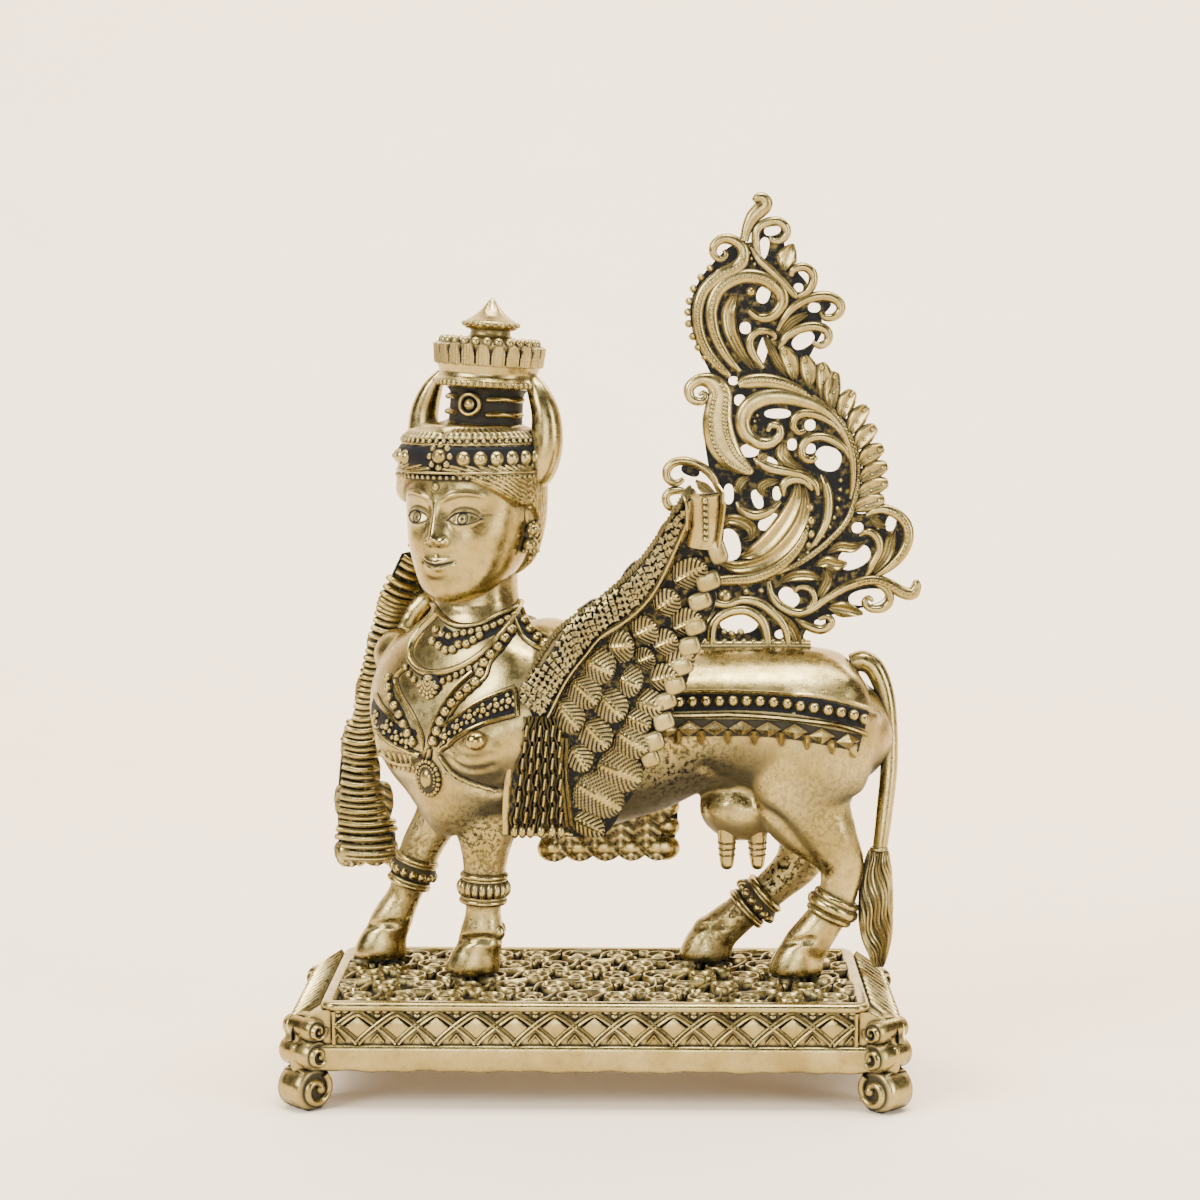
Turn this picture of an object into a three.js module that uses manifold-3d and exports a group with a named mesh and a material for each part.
// Brass cow goddess on a footed plinth: a winged cow with a woman's bust and crown, and an openwork tail fan.
// Millimetres, +Z up, the head towards -X. The origin is on the ground under the middle of the whole.

import * as THREE from "three";
import { mergeGeometries, mergeVertices } from "three/addons/utils/BufferGeometryUtils.js";
import Module from "manifold-3d";

const wasm = await Module();
wasm.setup();

// Driving sizes
const plateLength = 103.4;
const plateDepth = 46.8;
const plateThickness = 1.8;
const plateCorner = 3;
const plinthHeight = 20.8;
const railHeight = 5.2;
const railClearance = 7.4;
const endSpread = 5.6;
const wallThickness = 2.2;
const deckThickness = 3.4;
const friezeCells = 13;
const footWidth = 6.8;
const footReach = 3.2;
const footRoll = 4.3;
const figureHeight = 132;
const figureSetback = 5;
const seatGap = 0.3;
const fanHeight = 90;
const fanThickness = 2.4;
const wingHeight = 67;
const wingThickness = 2.6;
const reliefHeight = 0.7;

// The figure is drawn on a grid as many squares tall as a sculptor's drawing of it, soles on line nought
const gridTall = 132;
const unit = figureHeight / gridTall;
const soleHeight = plinthHeight + seatGap;
const mergeDistance = 1e-4;
const brass = { color: 0xb09a62, roughness: 0.36, metalness: 1 };

function onGrid(x, y, z) {
  return new THREE.Vector3(x * unit, figureSetback + y * unit, soleHeight + z * unit);
}

// Solids and their joining

function solid(geometry) {
  const bare = geometry.clone();
  bare.deleteAttribute("normal");
  bare.deleteAttribute("uv");
  const merged = mergeVertices(bare, mergeDistance);
  const vertProperties = merged.attributes.position.array;
  const triVerts = new Uint32Array(merged.index.array);
  return new wasm.Manifold(new wasm.Mesh({ numProp: 3, vertProperties, triVerts }));
}

function join(solids) {
  return solids.reduce((whole, next) => whole.add(next));
}

function meshOf(name, made) {
  const data = made.getMesh();
  const geometry = new THREE.BufferGeometry();
  geometry.setAttribute("position", new THREE.BufferAttribute(data.vertProperties, data.numProp));
  geometry.setIndex(new THREE.BufferAttribute(data.triVerts, 1));
  geometry.computeVertexNormals();
  const mesh = new THREE.Mesh(geometry, new THREE.MeshStandardMaterial(brass));
  mesh.name = name;
  return mesh;
}

// A closed skin over rings of points that all have the same count, turned to face outwards
function skin(rings) {
  const count = rings[0].length;
  const points = rings.flat();
  const index = [];
  const quad = (a, b, c, d) => index.push(a, b, c, a, c, d);
  for (let r = 0; r + 1 < rings.length; r++) {
    for (let k = 0; k < count; k++) {
      const next = (k + 1) % count;
      quad(r * count + k, r * count + next, (r + 1) * count + next, (r + 1) * count + k);
    }
  }
  const cap = (ring, offset, flip) => {
    const middle = ring.reduce((sum, p) => sum.add(p), new THREE.Vector3()).divideScalar(count);
    points.push(middle);
    for (let k = 0; k < count; k++) {
      const ends = [offset + k, offset + ((k + 1) % count)];
      if (flip) ends.reverse();
      index.push(points.length - 1, ...ends);
    }
  };
  cap(rings[0], 0, true);
  cap(rings.at(-1), (rings.length - 1) * count, false);
  const volume = index.reduce((sum, _, i) => {
    if (i % 3) return sum;
    const [a, b, c] = [points[index[i]], points[index[i + 1]], points[index[i + 2]]];
    return sum + a.dot(b.clone().cross(c));
  }, 0);
  if (volume < 0) index.reverse();
  const geometry = new THREE.BufferGeometry().setFromPoints(points);
  geometry.setIndex(index);
  return solid(geometry);
}

// Rows of numbers drawn out into more rows along a smooth curve through them
function smoothRows(rows, steps) {
  const last = rows.length - 1;
  return Array.from({ length: steps + 1 }, (_, i) => {
    const t = (i / steps) * last;
    const k = Math.min(Math.floor(t), last - 1);
    const f = t - k;
    const [p0, p1, p2, p3] = [k - 1, k, k + 1, k + 2].map((j) => rows[Math.min(Math.max(j, 0), last)]);
    return p1.map((_, c) => {
      const slopeIn = (p2[c] - p0[c]) / 2;
      const slopeOut = (p3[c] - p1[c]) / 2;
      const bend = 3 * (p2[c] - p1[c]) - 2 * slopeIn - slopeOut;
      const twist = 2 * (p1[c] - p2[c]) + slopeIn + slopeOut;
      return p1[c] + slopeIn * f + bend * f * f + twist * f * f * f;
    });
  });
}

// A body drawn by oval sections. A row is x, y, z, half-width across and half-width the other way, in grid squares.
// Sections stand square to the path, or lie level where a level body is asked for.
function loft(rows, { sides = 12, steps = rows.length - 1, across = [0, 1, 0], level = false, grow = 0 } = {}) {
  const full = smoothRows(rows, steps);
  const path = full.map(([x, y, z]) => onGrid(x, y, z));
  const lateral = new THREE.Vector3(...across).normalize();
  const rings = full.map(([, , , wide, deep], i) => {
    const along = path[Math.min(i + 1, path.length - 1)].clone().sub(path[Math.max(i - 1, 0)]).normalize();
    if (level) along.set(0, 0, 1);
    const side = lateral.clone().addScaledVector(along, -lateral.dot(along)).normalize();
    const up = along.clone().cross(side);
    return Array.from({ length: sides }, (_, k) => {
      const turn = (2 * Math.PI * (k + 0.5)) / sides;
      return path[i]
        .clone()
        .addScaledVector(side, Math.cos(turn) * (wide * unit + grow))
        .addScaledVector(up, Math.sin(turn) * (deep * unit + grow));
    });
  });
  if (grow) {
    rings.unshift(rings[0].map((p) => p.clone().addScaledVector(path[1].clone().sub(path[0]).normalize(), -grow)));
    rings.push(rings.at(-1).map((p) => p.clone().addScaledVector(path.at(-1).clone().sub(path.at(-2)).normalize(), grow)));
  }
  return skin(rings);
}

function ball(x, y, z, wide, deep = wide, tall = wide, turn = 0, detail = 8) {
  const geometry = new THREE.SphereGeometry(unit, detail, Math.ceil(detail / 2) + 1);
  geometry.rotateX(Math.PI / 2).scale(wide, deep, tall).rotateZ(turn);
  const at = onGrid(x, y, z);
  return solid(geometry.translate(at.x, at.y, at.z));
}

function block(length, depth, height, x, y, bottom) {
  return solid(new THREE.BoxGeometry(length, depth, height).translate(x, y, bottom + height / 2));
}

// A flat outline in the upright X-Z plane, given thickness along Y about the given depth
function plate(shape, thickness, y, curveSegments = 3) {
  const geometry = new THREE.ExtrudeGeometry(shape, { depth: thickness, bevelEnabled: false, curveSegments });
  return solid(geometry.rotateX(Math.PI / 2).translate(0, y + thickness / 2, 0));
}

// A tube along points, a few-sided stand-in for a raised rib or cord
function rib(points, radius, sides = 5, steps = 12) {
  const section = new THREE.Shape(
    Array.from({ length: sides }, (_, k) => {
      const turn = (2 * Math.PI * k) / sides;
      return new THREE.Vector2(Math.cos(turn) * radius, Math.sin(turn) * radius);
    }),
  );
  const extrudePath = new THREE.CatmullRomCurve3(points);
  return solid(new THREE.ExtrudeGeometry(section, { steps, extrudePath }));
}

// Plinth

const skirtTop = plinthHeight - plateThickness;
const railTop = railClearance + railHeight;
const railFace = plateDepth / 2;
const friezeFace = railFace - reliefHeight - 0.2 * plateThickness;
const endReach = plateLength / 2 + endSpread;
const cellPitch = (plateLength - footWidth) / friezeCells;

// Square-cornered levels of z, half length and half depth
function levels(rows) {
  return skin(
    rows.map(([z, halfLength, halfDepth]) =>
      [[-1, -1], [1, -1], [1, 1], [-1, 1]].map(([sx, sy]) => new THREE.Vector3(sx * halfLength, sy * halfDepth, z)),
    ),
  );
}

function deck() {
  const shape = new THREE.Shape();
  const [x, y, r] = [plateLength / 2, plateDepth / 2, plateCorner];
  shape.moveTo(-x + r, -y).lineTo(x - r, -y).quadraticCurveTo(x, -y, x, -y + r);
  shape.lineTo(x, y - r).quadraticCurveTo(x, y, x - r, y).lineTo(-x + r, y);
  shape.quadraticCurveTo(-x, y, -x, y - r).lineTo(-x, -y + r).quadraticCurveTo(-x, -y, -x + r, -y);
  const geometry = new THREE.ExtrudeGeometry(shape, { depth: plateThickness, bevelEnabled: false, curveSegments: 3 });
  return solid(geometry.translate(0, 0, skirtTop));
}

function skirt() {
  const shoulder = railTop + 0.62 * (skirtTop - railTop);
  const outer = levels([
    [railClearance, endReach, railFace],
    [railTop, endReach, railFace],
    [railTop, endReach, friezeFace],
    [shoulder, endReach - 0.1 * endSpread, friezeFace],
    [skirtTop, plateLength / 2 + 0.1 * endSpread, friezeFace],
    [skirtTop + plateThickness / 2, plateLength / 2 - plateCorner, friezeFace - plateCorner],
  ]);
  const inner = levels([
    [0, endReach - wallThickness, friezeFace - wallThickness],
    [shoulder - wallThickness / 2, endReach - wallThickness, friezeFace - wallThickness],
    [plinthHeight - deckThickness, plateLength / 2 - wallThickness, friezeFace - wallThickness],
  ]);
  return outer.subtract(inner);
}

// Crossing ribbons on the front, with a raised lozenge in each diamond between them
function frieze() {
  const middle = railTop + 0.55 * (skirtTop - railTop);
  const rise = (skirtTop - railTop) / 2;
  const start = -(friezeCells * cellPitch) / 2;
  const band = 0.13 * cellPitch;
  const ribbon = (first) => {
    const upper = [];
    const lower = [];
    for (let k = 0; k <= friezeCells; k++) {
      const z = railTop + rise + (k % 2 === first ? 1 : -1) * (rise - 1.5 * band);
      upper.push(new THREE.Vector2(start + k * cellPitch, z + band));
      lower.unshift(new THREE.Vector2(start + k * cellPitch, z - band));
    }
    return plate(new THREE.Shape([...upper, ...lower]), reliefHeight * 1.4, -friezeFace - 0.1 * reliefHeight);
  };
  const lozenge = (k) => {
    const x = start + k * cellPitch;
    const [wide, tall] = [0.3 * cellPitch, 0.26 * cellPitch];
    const shape = new THREE.Shape([
      new THREE.Vector2(x - wide, middle),
      new THREE.Vector2(x, middle - tall),
      new THREE.Vector2(x + wide, middle),
      new THREE.Vector2(x, middle + tall),
    ]);
    return plate(shape, reliefHeight * 1.3, -friezeFace - 0.2 * reliefHeight);
  };
  return [ribbon(0), ribbon(1), ...Array.from({ length: friezeCells - 1 }, (_, k) => lozenge(k + 1))];
}

// A corner foot set on the diagonal: three stacked rolls that grow downwards, the lowest with a flat to stand on
const rollSides = 8;

function foot(sx, sy) {
  const bottomRoll = footRoll;
  const middleRoll = bottomRoll * 0.66;
  const topRoll = bottomRoll * 0.52;
  const x = sx * (plateLength / 2 + footReach);
  const y = sy * (plateDepth / 2 - footReach * 0.85);
  const roll = (radius, z, width) => {
    const geometry = new THREE.CylinderGeometry(radius, radius, width, rollSides, 1, false, Math.PI / rollSides);
    return solid(geometry.rotateZ((sx * sy * Math.PI) / 4).translate(x, y, z));
  };
  const lower = bottomRoll * Math.cos(Math.PI / rollSides);
  const middle = lower + bottomRoll + middleRoll * 0.86;
  const upper = middle + middleRoll + topRoll * 0.8;
  return [
    roll(bottomRoll, lower, footWidth),
    roll(middleRoll, middle, footWidth * 0.96),
    roll(topRoll, upper, footWidth * 0.8),
  ];
}

function plinth() {
  const pieces = [deck(), skirt(), ...frieze()];
  for (const [sx, sy] of [[-1, -1], [1, -1], [1, 1], [-1, 1]]) pieces.push(...foot(sx, sy));
  const standing = block(4 * plateLength, 4 * plateDepth, plinthHeight, 0, 0, 0);
  return join(pieces).intersect(standing);
}

// Cow and bust

const legSpread = 6.5;

const trunkRows = [
  [-37, 0, 43, 6, 7],
  [-32, 0, 43, 10, 12.5],
  [-24, 0, 43.5, 13, 16],
  [-14, 0, 44.4, 14.6, 18],
  [-4, 0, 45.2, 15.2, 18],
  [8, 0, 46.9, 15, 16.2],
  [20, 0, 49.7, 14.6, 14],
  [32, 0, 49.5, 14.4, 14.5],
  [42, 0, 49.3, 14, 14.4],
  [49, 0, 49.4, 12.4, 12.8],
  [53.5, 0, 50.2, 9, 9.3],
  [56.2, 0, 51.4, 4.2, 4.4],
];

const legRows = {
  nearFore: [
    [-20, -6, 40, 6.5, 8.5],
    [-20.5, -6.3, 33, 5.8, 6.9],
    [-21.3, -legSpread, 27, 4.7, 5.2],
    [-21.7, -legSpread, 22, 4, 4.3],
    [-22, -legSpread, 17, 3.7, 3.9],
    [-22.1, -legSpread, 12.5, 3.3, 3.5],
    [-22.3, -legSpread, 9, 3.8, 4.2],
    [-22.8, -legSpread, 6, 3.9, 4.4],
  ],
  farFore: [
    [-29, 6, 38, 6, 7.5],
    [-31.5, 6.3, 31, 5.2, 6],
    [-34, legSpread, 25.5, 4.2, 4.7],
    [-35.8, legSpread, 21, 3.7, 4.1],
    [-37, legSpread, 17.5, 3.6, 4],
    [-38.6, legSpread, 13, 3.1, 3.4],
    [-40.5, legSpread, 9.2, 3.7, 4],
    [-41.9, legSpread, 6.4, 3.9, 4.3],
  ],
  nearHind: [
    [43.4, -6, 54, 8.4, 12],
    [41.4, -6.8, 43, 8, 12],
    [40.6, -6.8, 34, 6.3, 9.8],
    [44.6, -6.7, 27, 4.8, 6.4],
    [47.6, -legSpread, 22, 3.9, 4.5],
    [47.2, -legSpread, 17.5, 3.3, 3.9],
    [45.8, -legSpread, 13.2, 3.3, 3.8],
    [43.3, -legSpread, 9.5, 3.6, 4],
    [40.9, -legSpread, 6.2, 4, 4.4],
  ],
  farHind: [
    [42, 6, 52, 8.4, 12],
    [41.5, 6.8, 41, 7.6, 12],
    [41.5, 6.7, 31.5, 5.7, 8.8],
    [41.5, 6.6, 24.5, 4.3, 5.8],
    [39.8, legSpread, 19.6, 3.7, 4.7],
    [35.5, legSpread, 15.2, 3.2, 3.8],
    [30.5, legSpread, 11, 3.2, 3.7],
    [26.8, legSpread, 8, 3.5, 3.9],
    [24.2, legSpread, 5.8, 3.9, 4.2],
  ],
};

const hoofPlaces = {
  nearFore: [-23.8, -legSpread],
  farFore: [-43.2, legSpread],
  nearHind: [39.2, -legSpread],
  farHind: [22, legSpread],
};

// Ring or rings round a shank: x, z, radius, and how far the ring leans with the leg
const ankletRows = {
  nearFore: [-22, 17.2, 4.8, 0],
  farFore: [-37.1, 17.8, 4.6, 0.35],
  nearHind: [45.9, 13.6, 4.7, -0.55],
  farHind: [31.4, 11.8, 4.8, -0.85],
};

function hoof([x, y]) {
  return loft(
    [
      [x - 0.5, y, 0, 4.3, 5.5],
      [x - 0.3, y, 2, 4.4, 5.5],
      [x + 0.8, y, 6, 3.8, 4.2],
      [x + 1.6, y, 8.4, 3.2, 3.4],
    ],
    { sides: 6, level: true },
  );
}

function anklet([x, z, radius, lean], y) {
  const geometry = new THREE.CylinderGeometry(1, 1, 6.2, 7, 1);
  const at = onGrid(x, y, z);
  geometry.scale(radius, 1, radius).rotateX(Math.PI / 2).rotateY(lean).scale(unit, unit, unit);
  return solid(geometry.translate(at.x, at.y, at.z));
}

// Height of the cow's back over a place along it, in grid squares
function backAt(x) {
  const k = trunkRows.findIndex((row) => row[0] > x);
  const [before, after] = [trunkRows[k - 1], trunkRows[k]];
  const f = (x - before[0]) / (after[0] - before[0]);
  const [level, rise] = [2, 4].map((c) => before[c] + f * (after[c] - before[c]));
  return level + rise;
}

function trunk(grow = 0) {
  return loft(trunkRows, { sides: 10, steps: 10, grow });
}

// The hump of the withers, where the cow's back meets the bust
function withers(grow = 0) {
  return ball(-9.5, -0.5, 60, 9.6 + grow, 11.4 + grow, 9.6 + grow, 0, 8);
}

// The bust is turned towards the near side and the head a little further: each has its own forward and left
function way(axis, degrees) {
  const turn = THREE.MathUtils.degToRad(degrees);
  return { axis, forward: [-Math.cos(turn), -Math.sin(turn)], left: [Math.sin(turn), -Math.cos(turn)] };
}

const bustWay = way([-23.8, 0], 55);
const headWay = way([-23.8, 0.3], 62);

function beside({ axis, forward, left }, ahead, aside) {
  return [0, 1].map((k) => axis[k] + ahead * forward[k] + aside * left[k]);
}

// Rows of height, how far ahead of the axis the section sits, half-width and half-depth
const bustRows = [
  [29, 3, 8, 7],
  [34.5, 2.2, 14.5, 10.5],
  [40, 1.2, 19.5, 13],
  [46, 0.4, 23.2, 14.2],
  [52, 0, 24.6, 14],
  [58, 0, 23.3, 12.4],
  [63.5, 0, 19.2, 10.3],
  [67.5, -0.2, 13.4, 8.9],
  [70.5, -0.4, 9.6, 8.2],
  [74, -0.5, 8.4, 7.9],
  [79, -0.5, 8.2, 7.9],
];

const headRows = [
  [73.2, 6.4, 3.6, 4.4],
  [76, 4.2, 7.8, 8.4],
  [80.5, 1.3, 10.6, 11.6],
  [86, 0.2, 12, 12.8],
  [92, 0, 12.6, 13],
  [98, 0, 12.6, 12.8],
  [104.5, -0.2, 11.4, 11.6],
  [107.5, -0.4, 9.4, 9.6],
];

function upright(rows, facing, options) {
  const placed = rows.map(([z, ahead, wide, deep]) => [...beside(facing, ahead, 0), z, wide, deep]);
  return loft(placed, { ...options, across: [...facing.left, 0], level: true });
}

function bust(grow = 0) {
  return upright(bustRows, bustWay, { sides: 10, steps: 7, grow });
}

function breasts(grow = 0) {
  return [-9.4, 9.2].map((aside) => ball(...beside(bustWay, 7.6, aside), 45, 7.2 + grow, 7.2 + grow, 6.8 + grow, 0, 8));
}

// A point on the skin of the bust: turn is the angle from straight ahead towards the left, lift stands off the skin
function onBust(turn, z, lift = 0) {
  const last = bustRows.length - 1;
  const k = Math.min(Math.max(bustRows.findIndex((row) => row[0] > z) - 1, 0), last - 1);
  const f = (z - bustRows[k][0]) / (bustRows[k + 1][0] - bustRows[k][0]);
  const [, ahead, wide, deep] = bustRows[k].map((value, c) => value + f * (bustRows[k + 1][c] - value));
  const angle = THREE.MathUtils.degToRad(turn);
  const at = beside(bustWay, ahead + Math.cos(angle) * (deep + lift), Math.sin(angle) * (wide + lift));
  return onGrid(...at, z);
}

// Necklaces: angles from straight ahead and heights, each drawn as one raised cord
const cordRadius = 0.75;
const necklaces = [
  [[-70, 69.6], [-35, 66.8], [0, 65.4], [35, 67.4], [70, 70.4]],
  [[-58, 65.5], [-36, 60], [0, 56.6], [32, 60.5], [54, 65.5]],
  [[-40, 58], [-24, 51], [0, 45], [18, 52.4], [34, 60.5]],
  [[-70, 53], [-40, 49], [0, 44.4], [32, 50.4], [54, 54.4]],
];

function necklaceCords(grow = 0) {
  return necklaces.map((route) => rib(route.map(([turn, z]) => onBust(turn, z, 0.1)), (cordRadius + grow) * unit, 4, 5));
}

function jewellery() {
  const shell = beside(bustWay, 13, 0);
  const medallion = beside(bustWay, 14.2, 0);
  return [...necklaceCords(), ball(...shell, 57, 2.3, 2.3, 2.8, 0, 5), ball(...medallion, 40.2, 2.6, 2.6, 3.4, 0, 5)];
}

function headShapes() {
  const at = (ahead, aside) => beside(headWay, ahead, aside);
  const facing = Math.atan2(headWay.left[1], headWay.left[0]);
  const eyes = [-4.8, 4.8].map((aside) => ball(...at(10.8, aside), 89.6, 2.1, 1.3, 1, facing, 5));
  const nose = loft(
    [
      [...at(11.4, 0), 92.4, 0.7, 0.8],
      [...at(12.6, 0), 88.6, 1, 1.2],
      [...at(13.6, 0), 85.6, 1.5, 1.5],
      [...at(12.4, 0), 84.2, 1.4, 1],
    ],
    { sides: 6, level: true, across: [...headWay.left, 0] },
  );
  const lips = ball(...at(11.6, 0), 80.8, 2.6, 1.3, 1.3, facing, 5);
  const ears = [-12.4, 12.4].map((aside) => ball(...at(-0.5, aside), 90, 1.4, 2, 3.8, facing, 5));
  const drops = [-12.4, 12.4].map((aside) => ball(...at(-0.3, aside), 84.6, 1.8, 1.8, 2.8, facing, 5));
  const hair = upright(
    [
      [97, -0.6, 12.8, 13.2],
      [99.4, -0.6, 13.4, 13.8],
      [103.6, -0.8, 12.8, 13],
      [107.8, -0.6, 10.4, 10.6],
    ],
    headWay,
    { sides: 10 },
  );
  const knot = [
    [...at(-12, 0), 100, 3, 3],
    [...at(-12.6, 0), 92, 4.6, 4.4],
    [...at(-11.6, 0), 84, 4.4, 4],
    [...at(-9.6, 0), 76, 3.6, 3.4],
    [...at(-8.2, 0), 70, 2.6, 2.6],
  ];
  const bosses = [-40, -14, 14, 40].map((turn) => {
    const angle = THREE.MathUtils.degToRad(turn);
    return ball(...at(-0.6 + 13.4 * Math.cos(angle), 13 * Math.sin(angle)), 100.6, 1.8, 1.8, 1.8, 0, 4);
  });
  const head = upright(headRows, headWay, { sides: 10, steps: 7 });
  return [head, ...eyes, nose, lips, ...ears, ...drops, hair, loft(knot, { sides: 7, level: true }), ...bosses];
}

// Crown: rows of radius and height, turned about an axis that leans a little towards the back
const crownFoot = [-21.6, 0.2, 103];
const crownLean = 0.08;

function crown() {
  const profile = [
    [0, crownFoot[2]],
    [9.6, crownFoot[2]],
    [7.2, 106.4],
    [7.2, 113.4],
    [10.4, 115],
    [10.5, 115.8],
    [9.2, 117.2],
    [10.4, 121.8],
    [10.2, 123.2],
    [4.3, 124.2],
    [4.1, 125.4],
    [5.4, 125.8],
    [5.3, 127.2],
    [2.9, 128.2],
    [0, 131.7],
  ];
  const points = profile.map(([radius, z]) => new THREE.Vector2(radius * unit, (z - crownFoot[2]) * unit));
  const geometry = new THREE.LatheGeometry(points, 10);
  const at = onGrid(...crownFoot);
  return solid(geometry.rotateX(Math.PI / 2).rotateY(crownLean).translate(at.x, at.y, at.z));
}

// A horn bows out from the temple and up to the rim of the crown
function horn(side) {
  const row = (aside, z, radius) => [...beside(headWay, -2, side * aside), z, radius, radius];
  return loft(
    [row(9.8, 97, 2.4), row(12.6, 98, 2.5), row(14.4, 102.6, 2.4), row(14.4, 108.6, 2), row(12.4, 113.8, 1.6), row(9.2, 117, 1.1)],
    { sides: 5, steps: 6, across: [...headWay.forward, 0] },
  );
}

// The border of the saddle cloth: two ridges and a row of studs round the flanks, sloping down to the rump
const borderStart = 13;
const borderSlope = 0.12;
const borderTop = 54.9;
const borderRise = 0.9;
const studPitch = 4.9;

function borderSlab(z, height, grow) {
  const geometry = new THREE.BoxGeometry(figureHeight, figureHeight, height * unit);
  geometry.translate(figureHeight / 2, 0, 0).rotateY(borderSlope);
  const at = onGrid(borderStart, 0, z);
  return solid(geometry.translate(at.x, at.y, at.z)).intersect(trunk(grow * unit));
}

// A four-sided pointed stud standing out from the flank
function stud(x, side, bulge, z) {
  const geometry = new THREE.ConeGeometry(2 * unit, 2 * unit, 4, 1, true);
  const base = new THREE.CircleGeometry(2 * unit, 4).rotateX(Math.PI / 2).rotateY(Math.PI / 2).translate(0, -unit, 0);
  const whole = mergeGeometries([geometry, base]);
  const at = onGrid(x, side * bulge, z);
  return solid(whole.rotateX((side * Math.PI) / 2).translate(at.x, at.y, at.z));
}

function saddleBorder() {
  const ridges = [
    borderSlab(borderTop, 1.3, borderRise),
    borderSlab(borderTop - 3.7, 1.3, borderRise),
  ];
  const studs = [];
  for (const side of [-1, 1]) {
    for (let k = 0; k < 7; k++) {
      const x = borderStart + studPitch * (k + 0.9);
      const bulge = 14.7 - 0.022 * Math.max(x - 30, 0) ** 1.6;
      studs.push(stud(x, side, bulge, 49.4 - borderSlope * (x - borderStart)));
    }
  }
  return [...ridges, ...studs];
}

function tail() {
  const cord = [
    [51.5, 0, 61, 1.8, 1.8],
    [54.4, -0.6, 59.4, 1.6, 1.6],
    [56.6, -1.2, 53, 1.4, 1.4],
    [57.4, -2, 42, 1.3, 1.3],
    [56.2, -3.2, 32, 1.3, 1.3],
    [55, -4.4, 23.4, 1.2, 1.2],
  ];
  const tuft = [
    [55, -4.4, 24.4, 1.2, 1.2],
    [54.6, -4.8, 20.5, 2.4, 2.4],
    [54.4, -5, 14, 3, 3.1],
    [54.6, -5, 8, 2.7, 2.8],
    [55, -5, 3.6, 1.3, 1.4],
    [55.1, -5, 1.4, 0.4, 0.4],
  ];
  return [loft(cord, { sides: 5, steps: 8 }), loft(tuft, { sides: 5, steps: 5, level: true })];
}

function udder() {
  const teats = [[25.4, -3.4], [31.4, -3.2], [25.6, 3.4], [31.4, 3.4]].map(([x, y]) =>
    loft([[x, y, 28, 1.7, 1.7], [x, y, 23.6, 1.4, 1.4], [x, y, 20.4, 0.9, 0.9]], { sides: 5, level: true }),
  );
  return [ball(28.4, 0, 32.2, 8.6, 8, 7, 0, 8), ...teats];
}

function cow() {
  const legs = Object.keys(legRows).flatMap((name) => [
    loft(legRows[name], { sides: 6, steps: 5 }),
    hoof(hoofPlaces[name]),
    anklet(ankletRows[name], legRows[name].at(-1)[1]),
  ]);
  return join([
    trunk(),
    withers(),
    bust(),
    ...breasts(),
    ...headShapes(),
    ...jewellery(),
    crown(),
    horn(-1),
    horn(1),
    ...legs,
    ...saddleBorder(),
    ...tail(),
    ...udder(),
  ]);
}

// What a wing or the fan must stay clear of: the body, bust and raised borders with a seat gap round them
function bodyWithGap() {
  const gap = seatGap / unit;
  return join([
    trunk(seatGap),
    withers(gap),
    bust(seatGap),
    ...breasts(gap),
    ...necklaceCords(gap),
    borderSlab(borderTop - 1.8, 5 + 2 * gap, borderRise + gap),
  ]);
}

// Wings

const wingGrid = 67;
const wingUnit = wingHeight / wingGrid;

function onWing(x, y, z) {
  const foot = onGrid(0, 0, 29);
  return new THREE.Vector3(x * wingUnit, foot.y + y * wingUnit, foot.z + z * wingUnit);
}

// A curved wing panel. Each edge is a list of x, y, z; lobes scallop the trailing edge.
function wingPanel(leading, trailing, { steps, lobes, lobeReach, outward }) {
  const front = smoothRows(leading, steps);
  const back = smoothRows(trailing, steps);
  const across = [0, 0.5, 1];
  const rings = front.map((f, i) => {
    const phase = ((i / steps) * lobes) % 1;
    const bulge = lobeReach * Math.sin(Math.PI * phase);
    const thin = i === 0 || i === steps ? 0.5 : 1;
    const outer = across.map((t) => {
      const reach = t + (t === 1 ? bulge : 0);
      const crest = Math.sin(Math.PI * t) * 0.5 * wingThickness;
      const [x, y, z] = f.map((value, c) => value + reach * (back[i][c] - value));
      return [x, y + outward * crest * thin, z];
    });
    const skinPoint = ([x, y, z], offset) => onWing(x, y + offset / wingUnit, z);
    return [
      ...outer.map((p) => skinPoint(p, outward * wingThickness * 0.5 * thin)),
      ...[...outer].reverse().map((p) => skinPoint(p, -outward * wingThickness * 0.5 * thin)),
    ];
  });
  return skin(rings);
}

// A leaf-shaped feather lying on the panel: a low pointed mound with a ridge down its middle
function feather(x, y, z, length, width, angle, outward, height) {
  const along = [Math.cos(angle), Math.sin(angle)];
  const side = [-along[1], along[0]];
  const spot = (t, s, h) =>
    onWing(x + along[0] * t + side[0] * s, y + outward * (h / wingUnit), z + along[1] * t + side[1] * s);
  const ring = (t, s, h) => [spot(t, -s, -reliefHeight), spot(t, 0, h), spot(t, s, -reliefHeight)];
  return skin([
    ring(-0.5 * length, 0.16 * width, 0.4 * height),
    ring(0.1 * length, 0.6 * width, height),
    ring(0.5 * length, 0.1 * width, 0.3 * height),
  ]);
}

// Rows of feathers between the two edges of a wing, each lying along the wing's own slant
function featherRows(leading, trailing, places, outward) {
  const edges = (s) => [smoothRows(leading, 40)[Math.round(s * 40)], smoothRows(trailing, 40)[Math.round(s * 40)]];
  return places.map(([s, t, length, width, angle]) => {
    const [f, b] = edges(s);
    const [x, y, z] = f.map((value, c) => value + t * (b[c] - value));
    const crest = (Math.sin(Math.PI * t) * 0.5 + 0.5) * wingThickness;
    return feather(x, y + (outward * crest) / wingUnit, z, length, width, THREE.MathUtils.degToRad(angle), outward, reliefHeight);
  });
}

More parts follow.
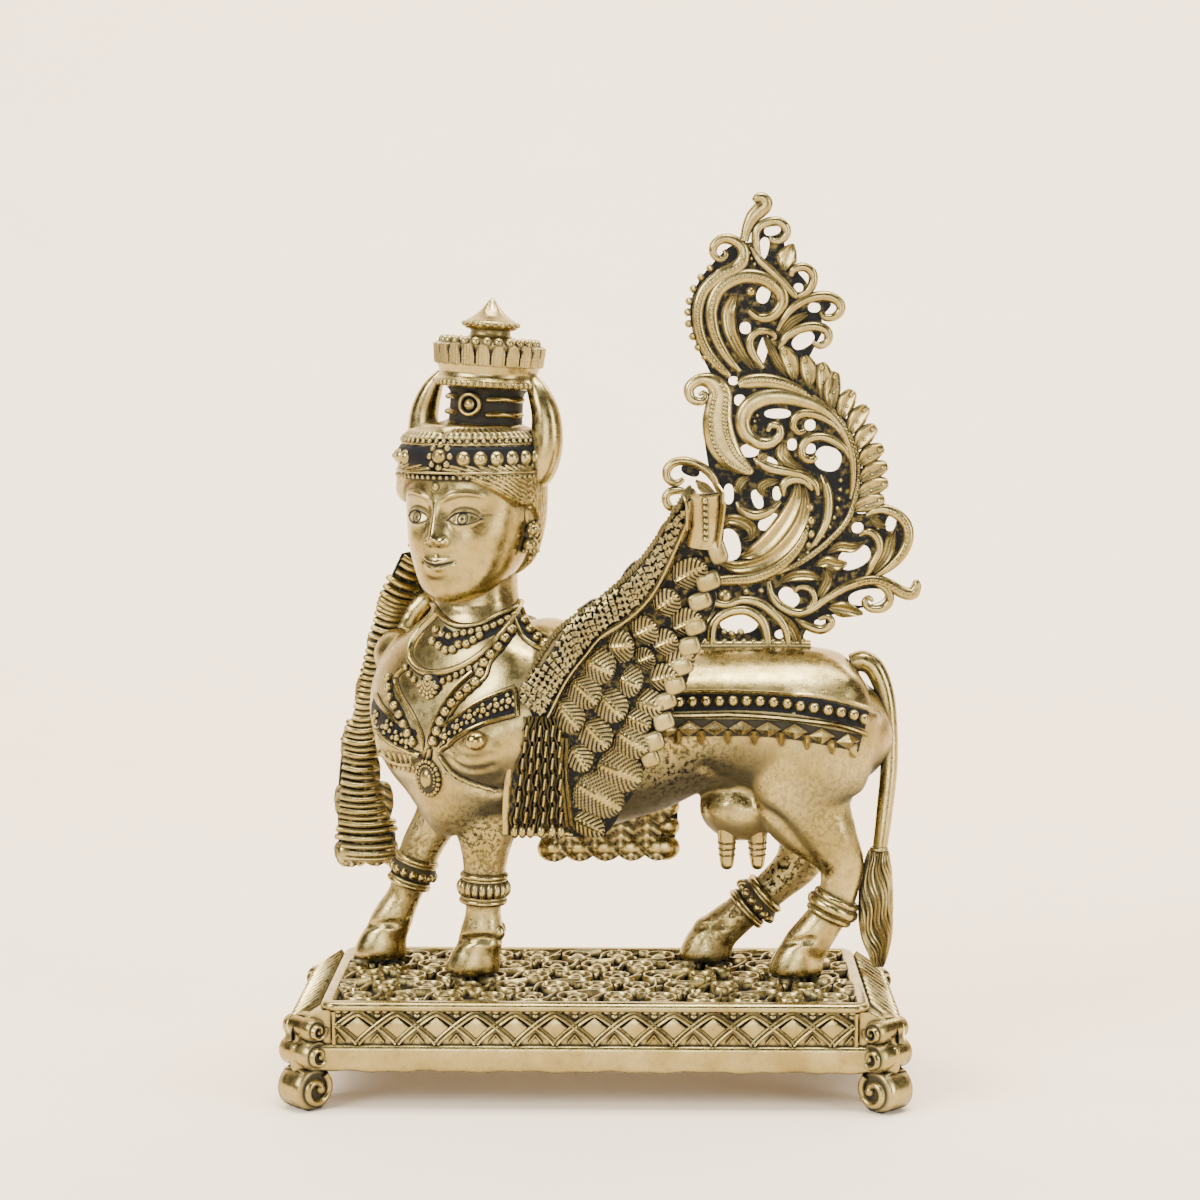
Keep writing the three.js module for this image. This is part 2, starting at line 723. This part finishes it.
const nearLeading = [
  [-17.2, -15.6, 0.4],
  [-17.2, -16, 8],
  [-16, -16.4, 18],
  [-14.6, -16.6, 26.2],
  [-7.6, -17, 38.8],
  [0.6, -18, 45.2],
  [8, -19.6, 52.2],
  [13, -21.4, 59.2],
  [17, -23, 65.8],
];

const nearTrailing = [
  [1.4, -15.6, 0.2],
  [6, -16.2, 7.4],
  [10.2, -16.6, 15.6],
  [14.2, -17, 24.4],
  [18.2, -17.8, 34],
  [21.4, -18.8, 43.6],
  [23, -20, 52.4],
  [23.8, -21.4, 60],
  [23.2, -23, 66.4],
];

const farLeading = [
  [-52.8, 18.4, -13],
  [-53.2, 18.6, -2],
  [-52.2, 18.4, 10.8],
  [-48.4, 17.6, 23],
  [-46.2, 16.6, 33.4],
  [-43, 15.6, 43.6],
  [-39.4, 14.2, 51.6],
];

const farTrailing = [
  [14.2, 17.6, -11.2],
  [16, 17.6, -1],
  [11.6, 17.4, 13],
  [4, 17.2, 23.6],
  [-8, 16.8, 31.6],
  [-20, 15.8, 40.6],
  [-30, 14.2, 53.4],
];

const nearFeathers = [
  [0.08, 0.62, 9, 4.4, -68],
  [0.2, 0.42, 9, 4.4, -66],
  [0.22, 0.7, 9, 4.4, -58],
  [0.34, 0.4, 9, 4.4, -60],
  [0.36, 0.68, 8.6, 4.4, -52],
  [0.47, 0.42, 8.6, 4.2, -54],
  [0.49, 0.7, 8, 4.2, -46],
  [0.6, 0.48, 7.6, 4, -46],
  [0.62, 0.76, 7, 3.8, -38],
  [0.73, 0.56, 6.4, 3.4, -36],
  [0.84, 0.6, 5.4, 3, -30],
];

const farFeathers = [
  [0.12, 0.88, 9.4, 5, -88],
  [0.14, 0.09, 9.4, 5, -98],
  [0.3, 0.8, 9.4, 5, -84],
  [0.3, 0.1, 9.4, 5, -102],
  [0.46, 0.74, 9, 4.8, -76],
  [0.46, 0.24, 9, 4.8, -100],
  [0.64, 0.5, 8.4, 4.4, -84],
];

// The raised rib that parts the leading band of a wing from its feathers
function leadingRib(leading, trailing, share, outward) {
  const front = smoothRows(leading, 10).slice(2, 10);
  const back = smoothRows(trailing, 10).slice(2, 10);
  const points = front.map((f, i) => {
    const [x, y, z] = f.map((value, c) => value + share * (back[i][c] - value));
    return onWing(x, y + (outward * wingThickness * 0.8) / wingUnit, z);
  });
  return rib(points, reliefHeight, 4, 6);
}

function wingNear() {
  const panel = wingPanel(nearLeading, nearTrailing, { steps: 16, lobes: 8, lobeReach: 0.1, outward: -1 });
  const feathers = featherRows(nearLeading, nearTrailing, nearFeathers, -1);
  return join([panel, leadingRib(nearLeading, nearTrailing, 0.3, -1), ...feathers]).subtract(bodyWithGap());
}

// The far wing spreads lower and wider, and is arched out below so that it clears the striding foreleg
function wingFar() {
  const panel = wingPanel(farLeading, farTrailing, { steps: 14, lobes: 7, lobeReach: 0.03, outward: 1 });
  const feathers = featherRows(farLeading, farTrailing, farFeathers, 1);
  const corner = (x, z) => {
    const at = onWing(x, 0, z);
    return new THREE.Vector2(at.x, at.z);
  };
  const arch = new THREE.Shape([
    corner(-40.5, -30),
    corner(-41.4, -9),
    corner(-45.4, 5),
    corner(-45, 12),
    corner(-38, 20),
    corner(-27, 22),
    corner(-17, 17),
    corner(-12.4, 4),
    corner(-10.6, -8),
    corner(-10.6, -30),
  ]);
  const gap = plate(arch, plateDepth, figureSetback + plateDepth / 2);
  return join([panel, leadingRib(farLeading, farTrailing, 0.16, 1), ...feathers]).subtract(gap).subtract(bodyWithGap());
}

// Tail fan: an upright openwork plate of leaf scrolls

const fanGrid = 90;
const fanUnit = fanHeight / fanGrid;
const fanPlace = 30;
const fanSink = 1.9;
const fanFoot = backAt(fanPlace) - fanSink;
const fanLean = 0.6;
const holeSides = 5;
const webThickness = 0.55 * fanThickness;

function onFan([x, z]) {
  const base = onGrid(0, 0, fanFoot);
  return new THREE.Vector2((x - fanLean) * fanUnit, base.z + z * fanUnit);
}

const fanOutline = [
  [19, -3], [20, 3], [17, 8], [20, 13], [22, 19], [19, 25], [15.4, 27], [12.8, 31.4], [13.6, 36.4],
  [18, 38.6], [20.6, 36.4], [19.4, 42], [19, 47.6], [16.4, 50.4], [17, 53.6], [20.6, 55.2], [20, 57.4],
  [18, 60.6], [16.8, 66], [17.4, 71.4], [20.2, 76.4], [21.6, 79.6], [24.4, 82], [28, 81.4], [30.2, 84],
  [29, 87.6], [30.8, 90.2], [34, 90], [35.4, 87], [33.4, 82.8], [38.2, 82], [38.8, 78.2], [40, 75.4],
  [43, 72.4], [42.6, 68.6], [47.4, 67.8], [49.2, 64.4], [46.6, 61.6], [46, 58.4], [42.6, 57.2],
];

const fanBase = [
  [61.2, 25.6], [61.6, 21], [58.4, 16.2], [63.2, 14.6], [60.6, 10.4], [56.6, 11.4], [53, 8], [47.4, 8.6],
  [45.8, 4.4], [46.4, 1.6], [45.4, -3],
];

// Serrated leaf edge down the right side: teeth stand out from a curve between the top scrolls and the base
function fanTeeth() {
  const teeth = 8;
  const spine = smoothRows([[42.6, 57.2], [49.6, 51.4], [54, 43.4], [56.4, 34.6], [57, 27]], 2 * teeth);
  const reach = 2.6;
  return spine.map(([x, z], i) => (i % 2 ? [x + reach * 0.9, z + reach * 0.7] : [x - 0.4 * reach, z - 0.3 * reach]));
}

// Openings through the plate: centre, half-width, half-height and lean in degrees
const fanHoles = [
  [33.6, 79.2, 1.9, 1.1, -25], [32.2, 75, 1, 2.2, 15], [39.2, 67.4, 1.2, 1.2, 0], [31.8, 65.8, 1, 1.9, 35],
  [28.4, 59.2, 1.2, 1.3, 0], [40, 55.6, 2.4, 1.6, 25], [32, 52.8, 0.9, 3.4, 15], [35, 42.6, 2.6, 0.8, 5],
  [29.2, 35.8, 2, 1.3, 0], [45, 34.4, 2.6, 2.4, 40], [17.4, 32.6, 2, 0.9, -10], [33, 21.6, 1.9, 1.3, 35],
  [24.4, 19.4, 1.8, 3.2, 20], [52.2, 17, 2.6, 1.5, 25], [36.4, 7.6, 2.2, 1.3, -30], [26.8, 3.4, 3.6, 1.8, 0],
];

// Main strokes of the scrollwork, drawn as raised ribs on both faces: points, then the stroke's half-width
const fanStrokes = [
  [[[24, 40], [22.2, 47], [24.6, 51.6], [20.6, 53.4], [18.4, 50.8]], 1.2],
  [[[31.6, 46.6], [25.2, 53.6], [20, 62], [20, 71], [26.6, 78.6], [33.4, 76.6], [37, 70.4], [35.4, 63.4]], 1.3],
  [[[55, 24], [51.6, 36], [43.4, 45.4], [33.4, 47.8], [26.4, 43.4], [28, 37], [33.4, 36.4]], 1.3],
  [[[38.4, 29.4], [37.6, 20], [31, 13.4], [22.4, 11.6]], 1.4],
  [[[46.6, 30.6], [48, 21.6], [42.4, 13.6], [34, 9.4], [30, 5]], 1.2],
  [[[47, 7.6], [54.4, 13], [60.8, 21], [58.6, 26.4]], 1],
];

function fanHole([x, z, wide, tall, lean]) {
  const turn = THREE.MathUtils.degToRad(lean);
  const ring = Array.from({ length: holeSides }, (_, k) => {
    const angle = (2 * Math.PI * k) / holeSides;
    const [px, pz] = [wide * Math.cos(angle), tall * Math.sin(angle)];
    return onFan([x + px * Math.cos(turn) - pz * Math.sin(turn), z + px * Math.sin(turn) + pz * Math.cos(turn)]);
  });
  return plate(new THREE.Shape(ring), 3 * fanThickness, figureSetback);
}

function tailFan() {
  const web = plate(new THREE.Shape([...fanOutline, ...fanTeeth(), ...fanBase].map(onFan)), webThickness, figureSetback);
  const strokes = fanStrokes.map(([route, half]) => {
    const points = route.map(onFan).map((p) => new THREE.Vector3(p.x, figureSetback, p.y));
    return rib(points, half * fanUnit, 4, route.length);
  });
  return join([web.subtract(join(fanHoles.map(fanHole))), ...strokes]).subtract(bodyWithGap());
}

const meshes = [
  meshOf("plinth", plinth()),
  meshOf("cow", cow()),
  meshOf("wing_near", wingNear()),
  meshOf("wing_far", wingFar()),
  meshOf("tail_fan", tailFan()),
];

// The figure overhangs the plinth a little at one end: everything moves so that the whole stands about the origin
const whole = meshes.reduce((box, mesh) => box.expandByObject(mesh), new THREE.Box3());
const middle = whole.getCenter(new THREE.Vector3());
for (const mesh of meshes) mesh.geometry.translate(-middle.x, -middle.y, 0);

const group = new THREE.Group();
group.add(...meshes);

export default group;
